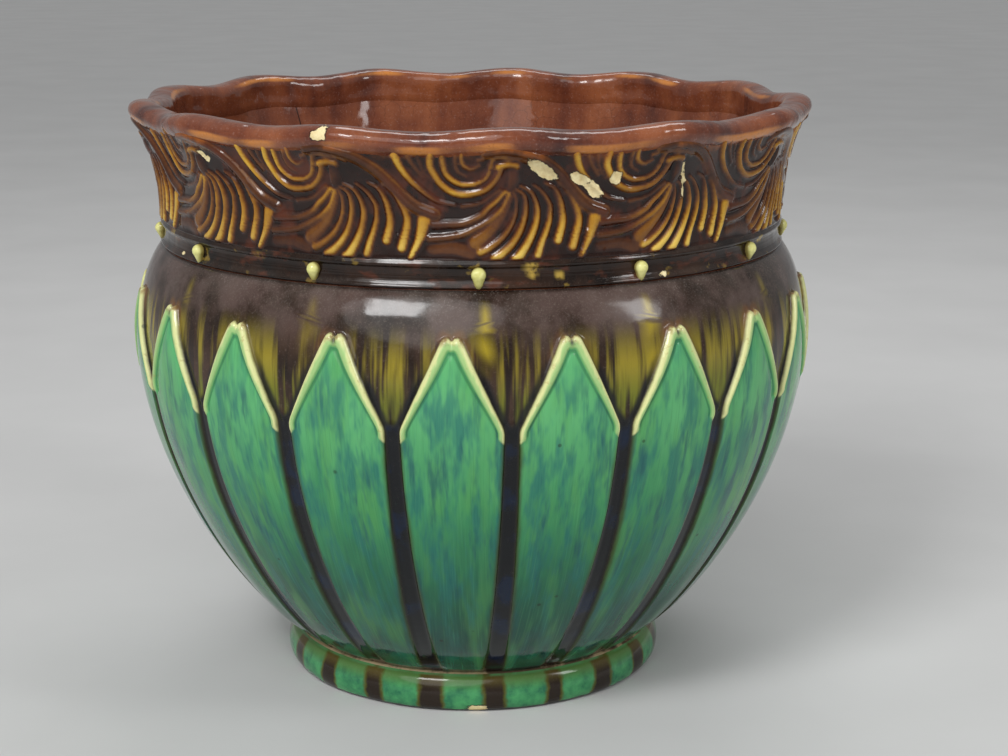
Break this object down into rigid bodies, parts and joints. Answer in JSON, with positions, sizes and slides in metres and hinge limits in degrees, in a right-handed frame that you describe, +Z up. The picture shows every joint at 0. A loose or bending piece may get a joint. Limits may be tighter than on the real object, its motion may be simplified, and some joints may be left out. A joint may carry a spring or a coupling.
{
  "type": "jardiniere",
  "caption": "Glazed earthenware jardiniere on a foot ring: round bowl with raised pointed leaves, flared scroll-frieze collar and wavy rolled rim, to hold a potted plant.",
  "frame": {"origin": "centre of the foot ring at the surface the pot stands on", "axes": "+Z up along the pot's axis; the front of the picture is -Y and +X is to its right"},
  "size_m": [0.2702, 0.2702, 0.2305],
  "materials": {
    "foot_glaze": "gloss glaze, alternating green and brown patches",
    "leaf_glaze": "gloss majolica glaze, mottled green and blue leaves on a brown-black ground, cream leaf borders",
    "neck_glaze": "gloss near-black brown glaze with a few ochre runs",
    "frieze_glaze": "gloss amber glaze, thin and honey coloured on the ridges and near black in the grooves",
    "rim_glaze": "gloss russet brown glaze, thin and orange along the edges",
    "bead_glaze": "gloss pale yellow glaze"
  },
  "bodies": {
    "root": {"foot_ring": "foot_glaze", "bowl": "leaf_glaze", "neck_band": "neck_glaze", "collar": "frieze_glaze", "rim_roll": "rim_glaze", "frieze_scroll_01": "frieze_glaze", "frieze_scroll_02": "frieze_glaze", "frieze_scroll_03": "frieze_glaze", "frieze_scroll_04": "frieze_glaze", "frieze_scroll_05": "frieze_glaze", "frieze_scroll_06": "frieze_glaze", "frieze_scroll_07": "frieze_glaze", "frieze_scroll_08": "frieze_glaze", "frieze_scroll_09": "frieze_glaze", "frieze_scroll_10": "frieze_glaze", "frieze_scroll_11": "frieze_glaze", "frieze_scroll_12": "frieze_glaze", "frieze_scroll_13": "frieze_glaze", "neck_bead_01": "bead_glaze", "neck_bead_02": "bead_glaze", "neck_bead_03": "bead_glaze", "neck_bead_04": "bead_glaze", "neck_bead_05": "bead_glaze", "neck_bead_06": "bead_glaze", "neck_bead_07": "bead_glaze", "neck_bead_08": "bead_glaze", "neck_bead_09": "bead_glaze", "neck_bead_10": "bead_glaze", "neck_bead_11": "bead_glaze", "neck_bead_12": "bead_glaze", "neck_bead_13": "bead_glaze"}
  },
  "joints": []
}
